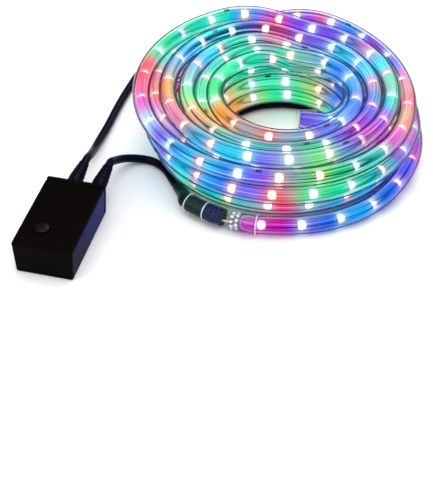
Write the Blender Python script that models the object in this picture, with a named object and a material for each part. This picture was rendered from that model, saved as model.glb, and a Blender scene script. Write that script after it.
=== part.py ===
"""LED rope light: a coil of clear multicolour rope with its controller box, leads, connector and mains plug.

Metres, +Z up, lying on z = 0. Places are measured from the coil's own axis. The empty led_rope_light
carries every piece and moves the middle of the object's own pieces over the origin.
"""

import math
from typing import NamedTuple

import bmesh
import bpy
from mathutils import Matrix, Vector

# Whole object
AXIS_PLACE = (0.039647, 0.019602, 0.0)  # the coil's axis, seen from the origin
FIT = 0.0003  # gap between pieces that touch or slide

# Rope and coil
ROPE_DIAMETER = 0.013
BORE_RADIUS = 0.0415  # clear radius at the lowest turns
COIL_STEPS = 48  # facets round the coil
ROPE_SIDES = 12

# Leads
LEAD_DIAMETER = 0.006
LEAD_SPACING = 0.0158  # between a lead's points
LEAD_STRAIGHT = 0.006  # a lead leaves what holds it straight for this far

# Controller box
BOX_PLACE = (-0.1534, -0.1056)
BOX_TURN = math.radians(-14.3)
BOX_LENGTH = 0.073
BOX_WIDTH = 0.043
BOX_HEIGHT = 0.025
BOX_DRAFT = 0.0015  # each side leans in by this much at the bottom
BOX_WALL = 0.002
BOX_EDGE = 0.0012
END_THICKNESS = 0.004
END_STEP = 0.003  # the end's raised panel stands this far out
END_INSET = 0.0035  # and is this much smaller all round
SPIGOT_DEPTH = 0.004

# Mode button
BUTTON_DIAMETER = 0.010
BUTTON_RISE = 0.0022
BUTTON_FLANGE = 0.0012
BUTTON_FLANGE_LIP = 0.0014
BUTTON_FROM_FRONT = 0.0178
BUTTON_ASIDE = -0.0057

# Strain reliefs in the box's end
RELIEF_ASIDE = {"mains_relief": -0.0046, "rope_relief": 0.0131}
RELIEF_DROP = 0.008  # from the box's top down to the leads
RELIEF_LENGTH = 0.0242
RELIEF_COLLAR_RADIUS = 0.0054
RELIEF_COLLAR_LENGTH = 0.0065
RELIEF_NECK_RADIUS = 0.0040
RELIEF_INNER_FLANGE = 0.0015
RELIEF_RIBS = 4
RELIEF_WALL = 0.0006  # rubber round the lead at the thin end

# Connector between the rope's lead and the rope
SLEEVE_WALL = 0.0008
SLEEVE_LENGTH = 0.0536
SLEEVE_START = math.radians(-132.0)
PLUG_COLLAR_LENGTH = 0.0145
PLUG_TAIL_RADIUS = 0.0036
PIN_BLOCK_LENGTH = 0.0142
ROPE_IN_SLEEVE = 0.0115
SOCKET_LENGTH = 0.0075
CONTACT_RADIUS = 0.0008
CONTACT_SPACING = 0.0055
CONTACT_DEPTH = 0.0020  # a contact's foot, held in the pin block

# Cap on the rope's free end
CAP_WALL = 0.0008
CAP_LENGTH = 0.0125
CAP_END = 0.0016

# Mains plug
MAINS_PLUG_LENGTH = 0.036
MAINS_PLUG_HALF_WIDTH = 0.0172
MAINS_PLUG_HALF_HEIGHT = 0.0068
MAINS_PLUG_NECK = 0.012
MAINS_PLUG_PLACE = (0.0190, 0.1240)
MAINS_PLUG_HEADING = (-1.0, 0.0, 0.0)
PRONG_RADIUS = 0.002
PRONG_LENGTH = 0.019
PRONG_SPACING = 0.0186
PRONG_SEAT = 0.004

# Values worked out from the ones above
ROPE_RADIUS = ROPE_DIAMETER / 2
LEAD_RADIUS = LEAD_DIAMETER / 2
COIL_LIFT = LEAD_DIAMETER + FIT  # the coil lies on its own mains lead
INNER_RADIUS = BORE_RADIUS + ROPE_RADIUS
START_RADIUS = INNER_RADIUS + 3.81 * ROPE_DIAMETER
SLEEVE_BORE = ROPE_RADIUS + FIT
SLEEVE_RADIUS = SLEEVE_BORE + SLEEVE_WALL
CONNECTOR_RADIUS = START_RADIUS + 0.0023
RELIEF_HEIGHT = BOX_HEIGHT - RELIEF_DROP


class Turn(NamedTuple):
    """One turn on the outside of the coil, in rope diameters from the innermost turn on the floor side.

    Its slips move it to the right and the back, its tilt lifts it at the back and its sag lifts it at both sides.
    """

    out: float
    up: float
    slip_x: float = 0.0
    slip_y: float = 0.0
    tilt: float = 0.0
    sag: float = 0.0


# The turns that make the coil's skin, from the inner foot out, up the outer wall, over the top and down the bore.
COIL_SKIN = (
    Turn(0.0, 0.0),
    Turn(2.15, 0.0),
    Turn(3.08, 0.20, slip_x=-0.08, slip_y=0.115),
    Turn(3.615, 1.17, slip_y=0.31),
    Turn(3.42, 2.585, slip_x=-0.75, slip_y=0.58, tilt=0.5),
    Turn(2.52, 2.83, slip_x=-0.15, slip_y=0.27, tilt=0.09, sag=0.05),
    Turn(1.50, 2.72, slip_x=-0.10, slip_y=0.24, tilt=0.085, sag=0.065),
    Turn(0.223, 2.687, slip_x=0.12, slip_y=-0.07, tilt=-0.027, sag=0.098),
    Turn(0.23, 1.785),
    Turn(0.04, 0.90),
)
SKIN_ARC_POINTS = 5
GROOVE_ANGLE = math.radians(4.0)  # opens each groove a little past where its two turns meet
TOUCHING = 0.94  # turns at least this many diameters apart are grooved as if they just touch
FAR_TURNS = 1.6  # turns further apart than this many diameters are joined by a flat

# Where the rope leaves the coil at each end: azimuth in degrees, then in rope diameters how far out from the
# innermost turn it runs and how far above the floor.
ROPE_START_ROUTE = (
    (-85.0, 3.81, 0.5),
    (-70.0, 3.81, 0.5),
    (-55.0, 3.81, 0.515),
    (-40.0, 3.81, 0.655),
    (-24.0, 3.81, 0.86),
    (-8.0, 3.81, 1.0),
    (10.0, 3.785, 1.04),
    (30.0, 3.71, 1.115),
    (50.0, 3.575, 1.23),
    (70.0, 3.385, 1.385),
    (90.0, 3.075, 1.575),
    (104.0, 2.845, 1.69),
)
ROPE_TAIL_ROUTE = (
    (50.0, 0.77, 3.155),
    (36.0, 0.575, 3.215),
    (22.0, 0.385, 3.27),
    (8.0, 0.215, 3.325),
    (-6.0, 0.06, 3.37),
    (-20.0, -0.075, 3.425),
    (-33.0, -0.185, 3.46),
    (-44.5, -0.34, 3.49),
    (-48.6, -0.57, 3.51),
    (-52.3, -0.75, 3.53),
)
ROPE_TAIL_STRAIGHT = 0.0128  # the free end, inside its cap

# The mains lead, from its strain relief round behind the coil, once round under it and out to its plug.
MAINS_ROUTE_OUT = (
    (-0.1388, -0.0270, 0.0130),
    (-0.1375, -0.0150, 0.0082),
    (-0.1348, 0.0010, 0.0045),
    (-0.1296, 0.0204, 0.0034),
    (-0.1221, 0.0498, 0.0031),
    (-0.1147, 0.0737, 0.0031),
    (-0.1088, 0.0900, 0.0031),
    (-0.0985, 0.1090, 0.0031),
    (-0.0835, 0.1275, 0.0031),
    (-0.0630, 0.1430, 0.0031),
    (-0.0360, 0.1545, 0.0031),
    (-0.0060, 0.1590, 0.0031),
    (0.0240, 0.1570, 0.0031),
    (0.0530, 0.1490, 0.0031),
    (0.0760, 0.1320, 0.0031),
    (0.0890, 0.1090, 0.0031),
    (0.0950, 0.0840, 0.0031),
    (0.0962, 0.0600, 0.0031),
    (0.0948, 0.0370, 0.0031),
    (0.0900, 0.0150, 0.0031),
)
UNDER_COIL_FROM = math.radians(-12.0)
UNDER_COIL_TO = math.radians(-229.0)
UNDER_COIL_OUTER = 0.0865
UNDER_COIL_INNER = 0.0490
UNDER_COIL_POINTS = 14
MAINS_ROUTE_HOME = (
    (-0.0170, 0.0460, 0.0031),
    (0.0020, 0.0491, 0.0031),
    (0.0200, 0.0460, 0.0031),
    (0.0347, 0.0405, 0.0031),
    (0.0455, 0.0365, 0.0031),
    (0.0575, 0.0370, 0.0031),
    (0.0690, 0.0425, 0.0031),
    (0.0780, 0.0525, 0.0031),
    (0.0825, 0.0660, 0.0031),
    (0.0805, 0.0820, 0.0031),
    (0.0725, 0.0970, 0.0031),
    (0.0610, 0.1095, 0.0034),
    (0.0480, 0.1185, 0.0046),
    (0.0360, 0.1230, 0.0062),
)

# The rope's lead, from its strain relief under the coil's edge to the connector.
ROPE_LEAD_ROUTE = (
    (-0.1208, -0.0335, 0.0128),
    (-0.1148, -0.0245, 0.0075),
    (-0.1055, -0.0198, 0.0038),
    (-0.0945, -0.0220, 0.0031),
    (-0.0860, -0.0300, 0.0031),
    (-0.0808, -0.0400, 0.0031),
)
PLUG_TAIL_ROUTE = (
    (-0.0758, -0.0520, 0.0040),
    (-0.0712, -0.0625, 0.0056),
)


def clear_scene():
    for obj in list(bpy.data.objects):
        bpy.data.objects.remove(obj)


def material(name, colour, roughness, metallic=0.0, alpha=1.0, transmission=0.0):
    made = bpy.data.materials.new(name)
    made.use_nodes = True
    shader = made.node_tree.nodes["Principled BSDF"]
    shader.inputs["Base Color"].default_value = (*colour, 1.0)
    shader.inputs["Roughness"].default_value = roughness
    shader.inputs["Metallic"].default_value = metallic
    shader.inputs["Alpha"].default_value = alpha
    shader.inputs["Transmission Weight"].default_value = transmission
    return made


def polar(azimuth, radius, height):
    """The point at this azimuth, in radians, round the coil's axis."""
    return Vector((radius * math.cos(azimuth), radius * math.sin(azimuth), height))


def rope_route(route):
    """Points of one of the rope's two ends, from its azimuths and rope diameters."""
    points = []
    for azimuth, out, up in route:
        points.append(polar(math.radians(azimuth), INNER_RADIUS + out * ROPE_DIAMETER, up * ROPE_DIAMETER))
    return points


def smooth_path(route, spacing):
    """Points a spacing apart, read from a Catmull-Rom curve through the route's points."""
    fine = 24
    points = [Vector(point) for point in route]
    ends = [2 * points[0] - points[1], *points, 2 * points[-1] - points[-2]]
    dense = [points[0]]
    for before, start, end, after in zip(ends, ends[1:], ends[2:], ends[3:]):
        for step in range(1, fine + 1):
            t = step / fine
            bend = 2 * before - 5 * start + 4 * end - after
            twist = 3 * start - before - 3 * end + after
            dense.append(start + 0.5 * ((end - before) * t + bend * t**2 + twist * t**3))
    return evenly_spaced(dense, spacing)


def lead_path(first_run, route, last_run, spacing):
    """A lead's points: its two straight ends as they are, and an even smooth path between them."""
    path = smooth_path([*first_run, *route, *last_run], spacing)
    return [*first_run, *path[1:-1], *last_run]


def evenly_spaced(dense, spacing):
    """The same line with its points an equal distance apart, as near to the spacing as divides its length."""
    lengths = [0.0]
    for start, end in zip(dense, dense[1:]):
        lengths.append(lengths[-1] + (end - start).length)
    count = max(2, round(lengths[-1] / spacing))
    placed = []
    index = 0
    for step in range(count + 1):
        target = lengths[-1] * step / count
        while index < len(dense) - 2 and lengths[index + 1] < target:
            index += 1
        share = (target - lengths[index]) / (lengths[index + 1] - lengths[index])
        placed.append(dense[index].lerp(dense[index + 1], share))
    return placed


def headings(path):
    """The direction of travel at each point of a path."""
    found = []
    for index in range(len(path)):
        before = path[max(index - 1, 0)]
        after = path[min(index + 1, len(path) - 1)]
        found.append((after - before).normalized())
    return found


def oval(centre, heading, half_width, half_height, sides):
    """A ring of points across a heading, wide to its side and high to its top."""
    side = heading.cross(Vector((0.0, 0.0, 1.0))).normalized()
    top = side.cross(heading).normalized()
    ring = []
    for index in range(sides):
        angle = 2 * math.pi * (index + 0.5) / sides
        ring.append(centre + side * half_width * math.cos(angle) + top * half_height * math.sin(angle))
    return ring


def mesh_object(name, bm, look, parent):
    bmesh.ops.recalc_face_normals(bm, faces=bm.faces)
    mesh = bpy.data.meshes.new(name)
    bm.to_mesh(mesh)
    bm.free()
    mesh.shade_smooth()
    mesh.set_sharp_from_angle(angle=math.radians(35.0))
    if look is not None:
        mesh.materials.append(look)
    obj = bpy.data.objects.new(name, mesh)
    obj.parent = parent
    bpy.context.scene.collection.objects.link(obj)
    return obj


def loft(name, rings, look, parent, closed=False):
    """Skins rings of equal count into one closed solid: end to end when closed, else with a flat at each end."""
    bm = bmesh.new()
    loops = [[bm.verts.new(point) for point in ring] for ring in rings]
    joined = list(zip(loops, loops[1:]))
    if closed:
        joined.append((loops[-1], loops[0]))
    else:
        bm.faces.new(loops[0])
        bm.faces.new(loops[-1])
    for near, far in joined:
        for index in range(len(near)):
            after = (index + 1) % len(near)
            bm.faces.new((near[index], near[after], far[after], far[index]))
    return mesh_object(name, bm, look, parent)


def turned(name, profile, sides, look, parent):
    """A solid turned about its own Z axis from (radius, height) pairs, with a flat at each end."""
    rings = [[polar(2 * math.pi * (i + 0.5) / sides, r, z) for i in range(sides)] for r, z in profile]
    return loft(name, rings, look, parent)


def block(name, low, high, look, parent):
    """A box between two corners."""
    bm = bmesh.new()
    bmesh.ops.create_cube(bm, size=1.0)
    size = Vector(high) - Vector(low)
    middle = (Vector(high) + Vector(low)) / 2
    bmesh.ops.transform(bm, matrix=Matrix.Translation(middle) @ Matrix.Diagonal((*size, 1.0)), verts=bm.verts)
    return mesh_object(name, bm, look, parent)


def boolean(target, tool, operation):
    """Cuts or joins with a hidden helper object."""
    tool.hide_render = True
    tool.display_type = "WIRE"
    step = target.modifiers.new(tool.name, "BOOLEAN")
    step.operation = operation
    step.solver = "EXACT"
    step.object = tool


def lead(name, path, look, parent):
    """A round lead along a path: a curve with a bevel and filled ends."""
    curve = bpy.data.curves.new(name, "CURVE")
    curve.dimensions = "3D"
    curve.bevel_depth = LEAD_RADIUS
    curve.bevel_resolution = 2
    curve.use_fill_caps = True
    spline = curve.splines.new("POLY")
    spline.points.add(len(path) - 1)
    for point, place in zip(spline.points, path):
        point.co = (*place, 1.0)
    curve.materials.append(look)
    obj = bpy.data.objects.new(name, curve)
    obj.parent = parent
    bpy.context.scene.collection.objects.link(obj)
    return obj


def skin_places(azimuth):
    """Where the skin's turns pass at one azimuth, as (radius, height) pairs."""
    places = []
    for turn in COIL_SKIN:
        slip = turn.slip_x * math.cos(azimuth) + turn.slip_y * math.sin(azimuth)
        radius = INNER_RADIUS + (turn.out + slip) * ROPE_DIAMETER
        rise = turn.up + turn.tilt * math.sin(azimuth) + turn.sag * math.cos(2 * azimuth)
        places.append(Vector((radius, COIL_LIFT + ROPE_RADIUS + rise * ROPE_DIAMETER)))
    return places


def groove(offset):
    """How far a turn's arc stops short of its neighbour, as an angle."""
    apart = offset.length / ROPE_DIAMETER
    if apart > FAR_TURNS:
        return math.pi / 2
    return math.acos(min(apart, TOUCHING)) + GROOVE_ANGLE


def skin_section(azimuth):
    """The coil's outline at one azimuth: an arc of rope round each of the skin's turns."""
    places = skin_places(azimuth)
    outline = []
    for index, place in enumerate(places):
        back = places[index - 1] - place
        ahead = places[(index + 1) % len(places)] - place
        start = math.atan2(back.y, back.x) + groove(back)
        end = math.atan2(ahead.y, ahead.x) - groove(ahead)
        while end < start:
            end += 2 * math.pi
        for step in range(SKIN_ARC_POINTS):
            angle = start + (end - start) * step / (SKIN_ARC_POINTS - 1)
            radius = place.x + ROPE_RADIUS * math.cos(angle)
            outline.append(polar(azimuth, radius, place.y + ROPE_RADIUS * math.sin(angle)))
    return outline


def connector_point(distance):
    """A point on the connector's centre line, this far from the sleeve's open end."""
    return polar(SLEEVE_START + distance / CONNECTOR_RADIUS, CONNECTOR_RADIUS, SLEEVE_RADIUS)


def connector_heading(distance):
    azimuth = SLEEVE_START + distance / CONNECTOR_RADIUS
    return Vector((-math.sin(azimuth), math.cos(azimuth), 0.0))


def connector_rings(stations, sides):
    """Round sections on the connector's centre line, from (distance, radius) pairs."""
    return [oval(connector_point(d), connector_heading(d), r, r, sides) for d, r in stations]


def rope_coil(look, parent):
    azimuths = [2 * math.pi * step / COIL_STEPS for step in range(COIL_STEPS)]
    coil = loft("rope_coil", [skin_section(azimuth) for azimuth in azimuths], look, parent, closed=True)
    first = SLEEVE_LENGTH - ROPE_IN_SLEEVE
    inside = [connector_point(first + ROPE_IN_SLEEVE * share) for share in (0.0, 0.5, 1.0)]
    start_path = inside + smooth_path([inside[-1], *rope_route(ROPE_START_ROUTE)], ROPE_DIAMETER * 0.8)[1:]
    tail_path = smooth_path(rope_route(ROPE_TAIL_ROUTE), ROPE_DIAMETER * 0.7)
    tail_path.append(tail_path[-1] + (tail_path[-1] - tail_path[-2]).normalized() * ROPE_TAIL_STRAIGHT)
    for name, path in (("rope_start_run", start_path), ("rope_tail_run", tail_path)):
        rings = [oval(p, h, ROPE_RADIUS, ROPE_RADIUS, ROPE_SIDES) for p, h in zip(path, headings(path))]
        boolean(coil, loft(name, rings, look, parent), "UNION")
    return tail_path


def end_cap(tail_path, look, parent):
    """A cup over the rope's free end."""
    tip = tail_path[-1]
    heading = (tail_path[-1] - tail_path[-2]).normalized()
    floor = tip + heading * FIT
    mouth = floor - heading * CAP_LENGTH
    outer = ROPE_RADIUS + FIT + CAP_WALL
    rings = [
        oval(floor, heading, ROPE_RADIUS + FIT, ROPE_RADIUS + FIT, 16),
        oval(mouth, heading, ROPE_RADIUS + 2 * FIT, ROPE_RADIUS + 2 * FIT, 16),
        oval(mouth, heading, outer + FIT, outer + FIT, 16),
        oval(floor, heading, outer, outer, 16),
        oval(floor + heading * CAP_END, heading, outer * 0.82, outer * 0.82, 16),
    ]
    loft("rope_end_cap", rings, look, parent)


def connector_sleeve(look, parent):
    steps = 9
    stations = [(SLEEVE_LENGTH * step / steps, SLEEVE_RADIUS) for step in range(steps + 1)]
    bore = [(distance, SLEEVE_BORE) for distance, _ in reversed(stations)]
    loft("connector_sleeve", connector_rings(stations + bore, 20), look, parent, closed=True)


def lead_plug(look, parent):
    """The moulded plug on the rope's lead: a soft tail that thickens into a collar inside the sleeve.

    Returns the last straight stretch of the lead.
    """
    mouth = connector_point(0.0)
    tail = smooth_path([*PLUG_TAIL_ROUTE, connector_point(-0.004), mouth], 0.004)
    rings = []
    for index, (point, heading) in enumerate(zip(tail, headings(tail))):
        share = index / (len(tail) - 1)
        radius = PLUG_TAIL_RADIUS + (SLEEVE_BORE - 0.0012 - PLUG_TAIL_RADIUS) * share
        rings.append(oval(point, heading, radius, radius, 16))
    collar = SLEEVE_BORE - FIT
    stations = [(0.0015, collar), (PLUG_COLLAR_LENGTH / 2, collar), (PLUG_COLLAR_LENGTH, collar)]
    loft("lead_plug", rings + connector_rings(stations, 16), look, parent)
    heading = headings(tail)[0]
    entry = tail[0] - heading * FIT
    return [entry - heading * LEAD_STRAIGHT, entry]


def pin_block(look, parent):
    """A ribbed block between the plug and the rope, bored for the two contacts."""
    start = PLUG_COLLAR_LENGTH + FIT
    ribs = 4
    collar = SLEEVE_BORE - FIT
    pitch = PIN_BLOCK_LENGTH / ribs
    stations = []
    for rib in range(ribs):
        left = start + rib * pitch
        stations += [(left, collar), (left + pitch * 0.55, collar), (left + pitch * 0.6, collar - 0.0006)]
        stations += [(left + pitch * 0.95, collar - 0.0006)]
    stations.append((start + PIN_BLOCK_LENGTH, collar))
    made = loft("pin_block", connector_rings(stations, 16), look, parent)
    end = start + PIN_BLOCK_LENGTH
    cut_contact_holes(made, end - CONTACT_DEPTH - FIT, end + 0.001, parent)


def contact_ends(first, last, aside):
    """The straight centre line of one contact between two stations of the connector."""
    middle = (first + last) / 2
    heading = connector_heading(middle)
    offset = heading.cross(Vector((0.0, 0.0, 1.0))) * aside
    place = connector_point(middle) + offset
    reach = heading * (last - first) / 2
    return place - reach, place + reach


def rod(name, start, end, radius, sides, look, parent):
    heading = (end - start).normalized()
    rings = [oval(point, heading, radius, radius, sides) for point in (start, end)]
    return loft(name, rings, look, parent)


def cut_contact_holes(target, first, last, parent):
    for side in (-1, 1):
        ends = contact_ends(first, last, side * CONTACT_SPACING / 2)
        hole = rod(f"{target.name}_hole_{side}", *ends, CONTACT_RADIUS + FIT, 10, None, parent)
        boolean(target, hole, "DIFFERENCE")


def contacts(look, parent):
    """Two pins that bridge from the block through the rope's end socket."""
    start = PLUG_COLLAR_LENGTH + FIT + PIN_BLOCK_LENGTH - CONTACT_DEPTH
    end = SLEEVE_LENGTH - ROPE_IN_SLEEVE - 3 * FIT
    for name, side in (("contact_pin_front", 1), ("contact_pin_back", -1)):
        ends = contact_ends(start, end, side * CONTACT_SPACING / 2)
        rod(name, *ends, CONTACT_RADIUS, 10, look, parent)


def rope_socket(look, parent):
    """The clear disc that closes the rope's first end and guides the contacts into it."""
    end = SLEEVE_LENGTH - ROPE_IN_SLEEVE - FIT
    start = end - SOCKET_LENGTH
    radius = SLEEVE_BORE - FIT
    stations = [(start, radius - 0.001), (start + 0.001, radius), (end, radius)]
    made = loft("rope_socket", connector_rings(stations, 16), look, parent)
    cut_contact_holes(made, start - 0.001, end + 0.001, parent)


def leaning_box(name, front, back, shrink, look, parent):
    """The box's own section between two places along it, shrunk evenly for a cavity or a panel."""
    top = BOX_HEIGHT - shrink
    half_top = BOX_WIDTH / 2 - shrink
    half_foot = half_top - BOX_DRAFT
    rings = []
    for y in (front, back):
        corners = ((-half_foot, shrink), (half_foot, shrink), (half_top, top), (-half_top, top))
        rings.append([Vector((x, y, z)) for x, z in corners])
    return loft(name, rings, look, parent)


def soften(obj):
    """Rounds the moulded edges of the box before anything is cut from it."""
    bevel = obj.modifiers.new("edges", "BEVEL")
    bevel.width = BOX_EDGE
    bevel.segments = 2
    bevel.limit_method = "ANGLE"


def controller_housing(look, parent):
    front = -BOX_LENGTH / 2
    back = BOX_LENGTH / 2 - END_THICKNESS - FIT
    housing = leaning_box("controller_housing", front, back, 0.0, look, parent)
    soften(housing)
    cavity = leaning_box("housing_cavity", front + BOX_WALL, back + 0.01, BOX_WALL, None, parent)
    boolean(housing, cavity, "DIFFERENCE")
    well = BUTTON_DIAMETER / 2 + FIT
    hole = turned("button_hole", [(well, BOX_HEIGHT - 2 * BOX_WALL), (well, BOX_HEIGHT + 0.01)], 24, None, parent)
    hole.location = (BUTTON_ASIDE, front + BUTTON_FROM_FRONT, 0.0)
    boolean(housing, hole, "DIFFERENCE")


def controller_end(look, parent):
    """The box's end: a slab that closes the housing, a raised panel outside and a spigot inside."""
    back = BOX_LENGTH / 2
    seam = back - END_THICKNESS
    end = leaning_box("controller_end", seam, back, 0.0, look, parent)
    soften(end)
    panel = leaning_box("end_panel", back - END_THICKNESS / 2, back + END_STEP, END_INSET, look, parent)
    spigot = leaning_box("end_spigot", seam - SPIGOT_DEPTH, seam + END_THICKNESS / 2, BOX_WALL + FIT, look, parent)
    boolean(end, panel, "UNION")
    boolean(end, spigot, "UNION")
    for name, aside in RELIEF_ASIDE.items():
        bore = RELIEF_NECK_RADIUS + FIT
        start = Vector((aside, seam - SPIGOT_DEPTH - 0.01, RELIEF_HEIGHT))
        stop = Vector((aside, back + END_STEP + 0.01, RELIEF_HEIGHT))
        boolean(end, rod(f"{name}_hole", start, stop, bore, 16, None, parent), "DIFFERENCE")


def mode_button(look, parent):
    """A domed push button with a flange under the lid. Its origin is on its own axis at the lid's top."""
    radius = BUTTON_DIAMETER / 2
    under = -BOX_WALL - FIT
    profile = [
        (radius + BUTTON_FLANGE_LIP, under - BUTTON_FLANGE),
        (radius + BUTTON_FLANGE_LIP, under),
        (radius, under),
        (radius, BUTTON_RISE * 0.45),
        (radius * 0.93, BUTTON_RISE * 0.72),
        (radius * 0.70, BUTTON_RISE * 0.92),
        (radius * 0.35, BUTTON_RISE),
    ]
    button = turned("mode_button", profile, 24, look, parent)
    button.location = (BUTTON_ASIDE, -BOX_LENGTH / 2 + BUTTON_FROM_FRONT, BOX_HEIGHT)


def relief_stations():
    """(distance behind the end panel, radius) along a strain relief, inner flange first."""
    inside = -(END_STEP + END_THICKNESS + SPIGOT_DEPTH)
    stations = [
        (inside - FIT - RELIEF_INNER_FLANGE, RELIEF_NECK_RADIUS + 0.001),
        (inside - FIT, RELIEF_NECK_RADIUS + 0.001),
        (inside - FIT, RELIEF_NECK_RADIUS),
        (FIT, RELIEF_NECK_RADIUS),
        (FIT, RELIEF_COLLAR_RADIUS),
        (RELIEF_COLLAR_LENGTH, RELIEF_COLLAR_RADIUS),
    ]
    tip = LEAD_RADIUS + RELIEF_WALL
    pitch = (RELIEF_LENGTH - RELIEF_COLLAR_LENGTH) / RELIEF_RIBS
    for rib in range(RELIEF_RIBS):
        start = RELIEF_COLLAR_LENGTH + rib * pitch
        share = (rib + 0.5) / RELIEF_RIBS
        radius = RELIEF_COLLAR_RADIUS + (tip - RELIEF_COLLAR_RADIUS) * share
        stations.append((start + pitch * 0.1, radius - 0.0004))
        stations.append((start + pitch * 0.4, radius - 0.0004))
        stations.append((start + pitch * 0.5, radius))
        stations.append((start + pitch, radius - 0.0001))
    return stations


def strain_relief(name, look, parent):
    """A moulded sleeve held in the box's end. Returns the first straight stretch of the lead in it."""
    root = Vector((RELIEF_ASIDE[name], BOX_LENGTH / 2 + END_STEP, RELIEF_HEIGHT))
    heading = Vector((0.0, 1.0, 0.0))
    rings = [oval(root + heading * d, heading, r, r, 16) for d, r in relief_stations()]
    loft(name, rings, look, parent)
    turn = Matrix.Translation((*BOX_PLACE, 0.0)) @ Matrix.Rotation(BOX_TURN, 4, "Z")
    tip = root + heading * (RELIEF_LENGTH + FIT)
    return [turn @ tip, turn @ (tip + heading * LEAD_STRAIGHT)]


def under_coil_route():
    """The turn of mains lead under the coil, working inwards."""
    route = []
    for step in range(UNDER_COIL_POINTS):
        share = step / (UNDER_COIL_POINTS - 1)
        azimuth = UNDER_COIL_FROM + (UNDER_COIL_TO - UNDER_COIL_FROM) * share
        radius = UNDER_COIL_OUTER + (UNDER_COIL_INNER - UNDER_COIL_OUTER) * share
        route.append(polar(azimuth, radius, LEAD_RADIUS + FIT / 3))
    return route


def mains_plug(look, metal, parent):
    """A flat two-pin plug lying behind the coil. Returns the last straight stretch of its lead."""
    heading = Vector(MAINS_PLUG_HEADING)
    root = Vector((*MAINS_PLUG_PLACE, MAINS_PLUG_HALF_HEIGHT))
    neck = LEAD_RADIUS + RELIEF_WALL
    wide = MAINS_PLUG_HALF_WIDTH
    high = MAINS_PLUG_HALF_HEIGHT
    stations = [
        (0.0, neck, neck),
        (MAINS_PLUG_NECK, neck + 0.0012, neck + 0.0012),
        (MAINS_PLUG_NECK + 0.003, wide * 0.55, high * 0.92),
        (MAINS_PLUG_LENGTH * 0.62, wide * 0.92, high),
        (MAINS_PLUG_LENGTH - 0.004, wide, high),
        (MAINS_PLUG_LENGTH, wide * 0.97, high * 0.93),
    ]
    rings = [oval(root + heading * d, heading, w, h, 20) for d, w, h in stations]
    body = loft("mains_plug", rings, look, parent)
    face = root + heading * MAINS_PLUG_LENGTH
    aside = heading.cross(Vector((0.0, 0.0, 1.0)))
    for name, side in (("plug_pin_near", 1), ("plug_pin_far", -1)):
        middle = face + aside * side * PRONG_SPACING / 2
        socket = rod(f"{name}_seat", middle - heading * (PRONG_SEAT + FIT), middle + heading * 0.01,
                     PRONG_RADIUS + FIT, 12, None, parent)
        boolean(body, socket, "DIFFERENCE")
        rod(name, middle - heading * PRONG_SEAT, middle + heading * PRONG_LENGTH, PRONG_RADIUS, 12, metal, parent)
    entry = root - heading * FIT
    return [entry - heading * LEAD_STRAIGHT, entry]


def empty(name, parent=None):
    obj = bpy.data.objects.new(name, None)
    obj.parent = parent
    bpy.context.scene.collection.objects.link(obj)
    return obj


def main():
    clear_scene()
    clear_rope = material("clear_rope", (0.80, 0.88, 0.92), 0.12, alpha=0.75, transmission=0.5)
    clear_part = material("clear_plastic", (0.85, 0.90, 0.92), 0.10, alpha=0.4, transmission=0.8)
    black_case = material("black_case", (0.012, 0.010, 0.011), 0.42)
    black_button = material("black_button", (0.015, 0.013, 0.014), 0.38)
    black_rubber = material("black_rubber", (0.010, 0.010, 0.022), 0.45)
    black_lead = material("black_lead", (0.010, 0.011, 0.030), 0.35)
    bright_metal = material("bright_metal", (0.80, 0.70, 0.45), 0.25, metallic=1.0)

    whole = empty("led_rope_light")
    whole.location = AXIS_PLACE
    box = empty("controller_place", whole)
    box.location = (*BOX_PLACE, 0.0)
    box.rotation_euler = (0.0, 0.0, BOX_TURN)

    tail_path = rope_coil(clear_rope, whole)
    end_cap(tail_path, clear_part, whole)
    connector_sleeve(clear_part, whole)
    plug_end = lead_plug(black_rubber, whole)
    pin_block(black_case, whole)
    contacts(bright_metal, whole)
    rope_socket(clear_part, whole)

    controller_housing(black_case, box)
    controller_end(black_case, box)
    mode_button(black_button, box)
    mains_exit = strain_relief("mains_relief", black_rubber, box)
    rope_exit = strain_relief("rope_relief", black_rubber, box)

    plug_entry = mains_plug(black_rubber, bright_metal, whole)
    mains_route = [*MAINS_ROUTE_OUT, *under_coil_route(), *MAINS_ROUTE_HOME]
    mains_path = lead_path(mains_exit, mains_route, plug_entry, LEAD_SPACING)
    lead("mains_lead", mains_path, black_lead, whole)
    lead("rope_lead", lead_path(rope_exit, ROPE_LEAD_ROUTE, plug_end, LEAD_SPACING * 0.7), black_lead, whole)


main()
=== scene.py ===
"""LED rope light: the looks of a coil of clear rope, lit in many colours, with its controller box and leads.

Metres, +Z up. Places are measured from the coil's own axis and moved by COIL_AXIS into the frame's place.
"""

import logging
import math
from dataclasses import dataclass, field
from enum import Enum
from functools import cache
from typing import NamedTuple, Sequence

import bpy
import numpy as np
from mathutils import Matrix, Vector


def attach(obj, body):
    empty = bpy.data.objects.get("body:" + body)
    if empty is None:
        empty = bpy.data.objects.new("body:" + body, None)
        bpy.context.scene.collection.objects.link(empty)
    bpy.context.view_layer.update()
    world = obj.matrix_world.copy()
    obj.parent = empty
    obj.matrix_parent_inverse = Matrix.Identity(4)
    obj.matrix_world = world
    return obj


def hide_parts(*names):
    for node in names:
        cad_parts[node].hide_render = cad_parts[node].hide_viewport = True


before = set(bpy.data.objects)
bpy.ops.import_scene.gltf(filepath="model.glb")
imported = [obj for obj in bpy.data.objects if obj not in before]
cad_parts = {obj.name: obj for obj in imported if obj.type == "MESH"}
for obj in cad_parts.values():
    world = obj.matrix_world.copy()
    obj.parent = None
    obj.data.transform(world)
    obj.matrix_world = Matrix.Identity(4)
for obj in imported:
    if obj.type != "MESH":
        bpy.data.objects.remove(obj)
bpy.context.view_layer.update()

LOG = logging.getLogger("led_rope_light")

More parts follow.
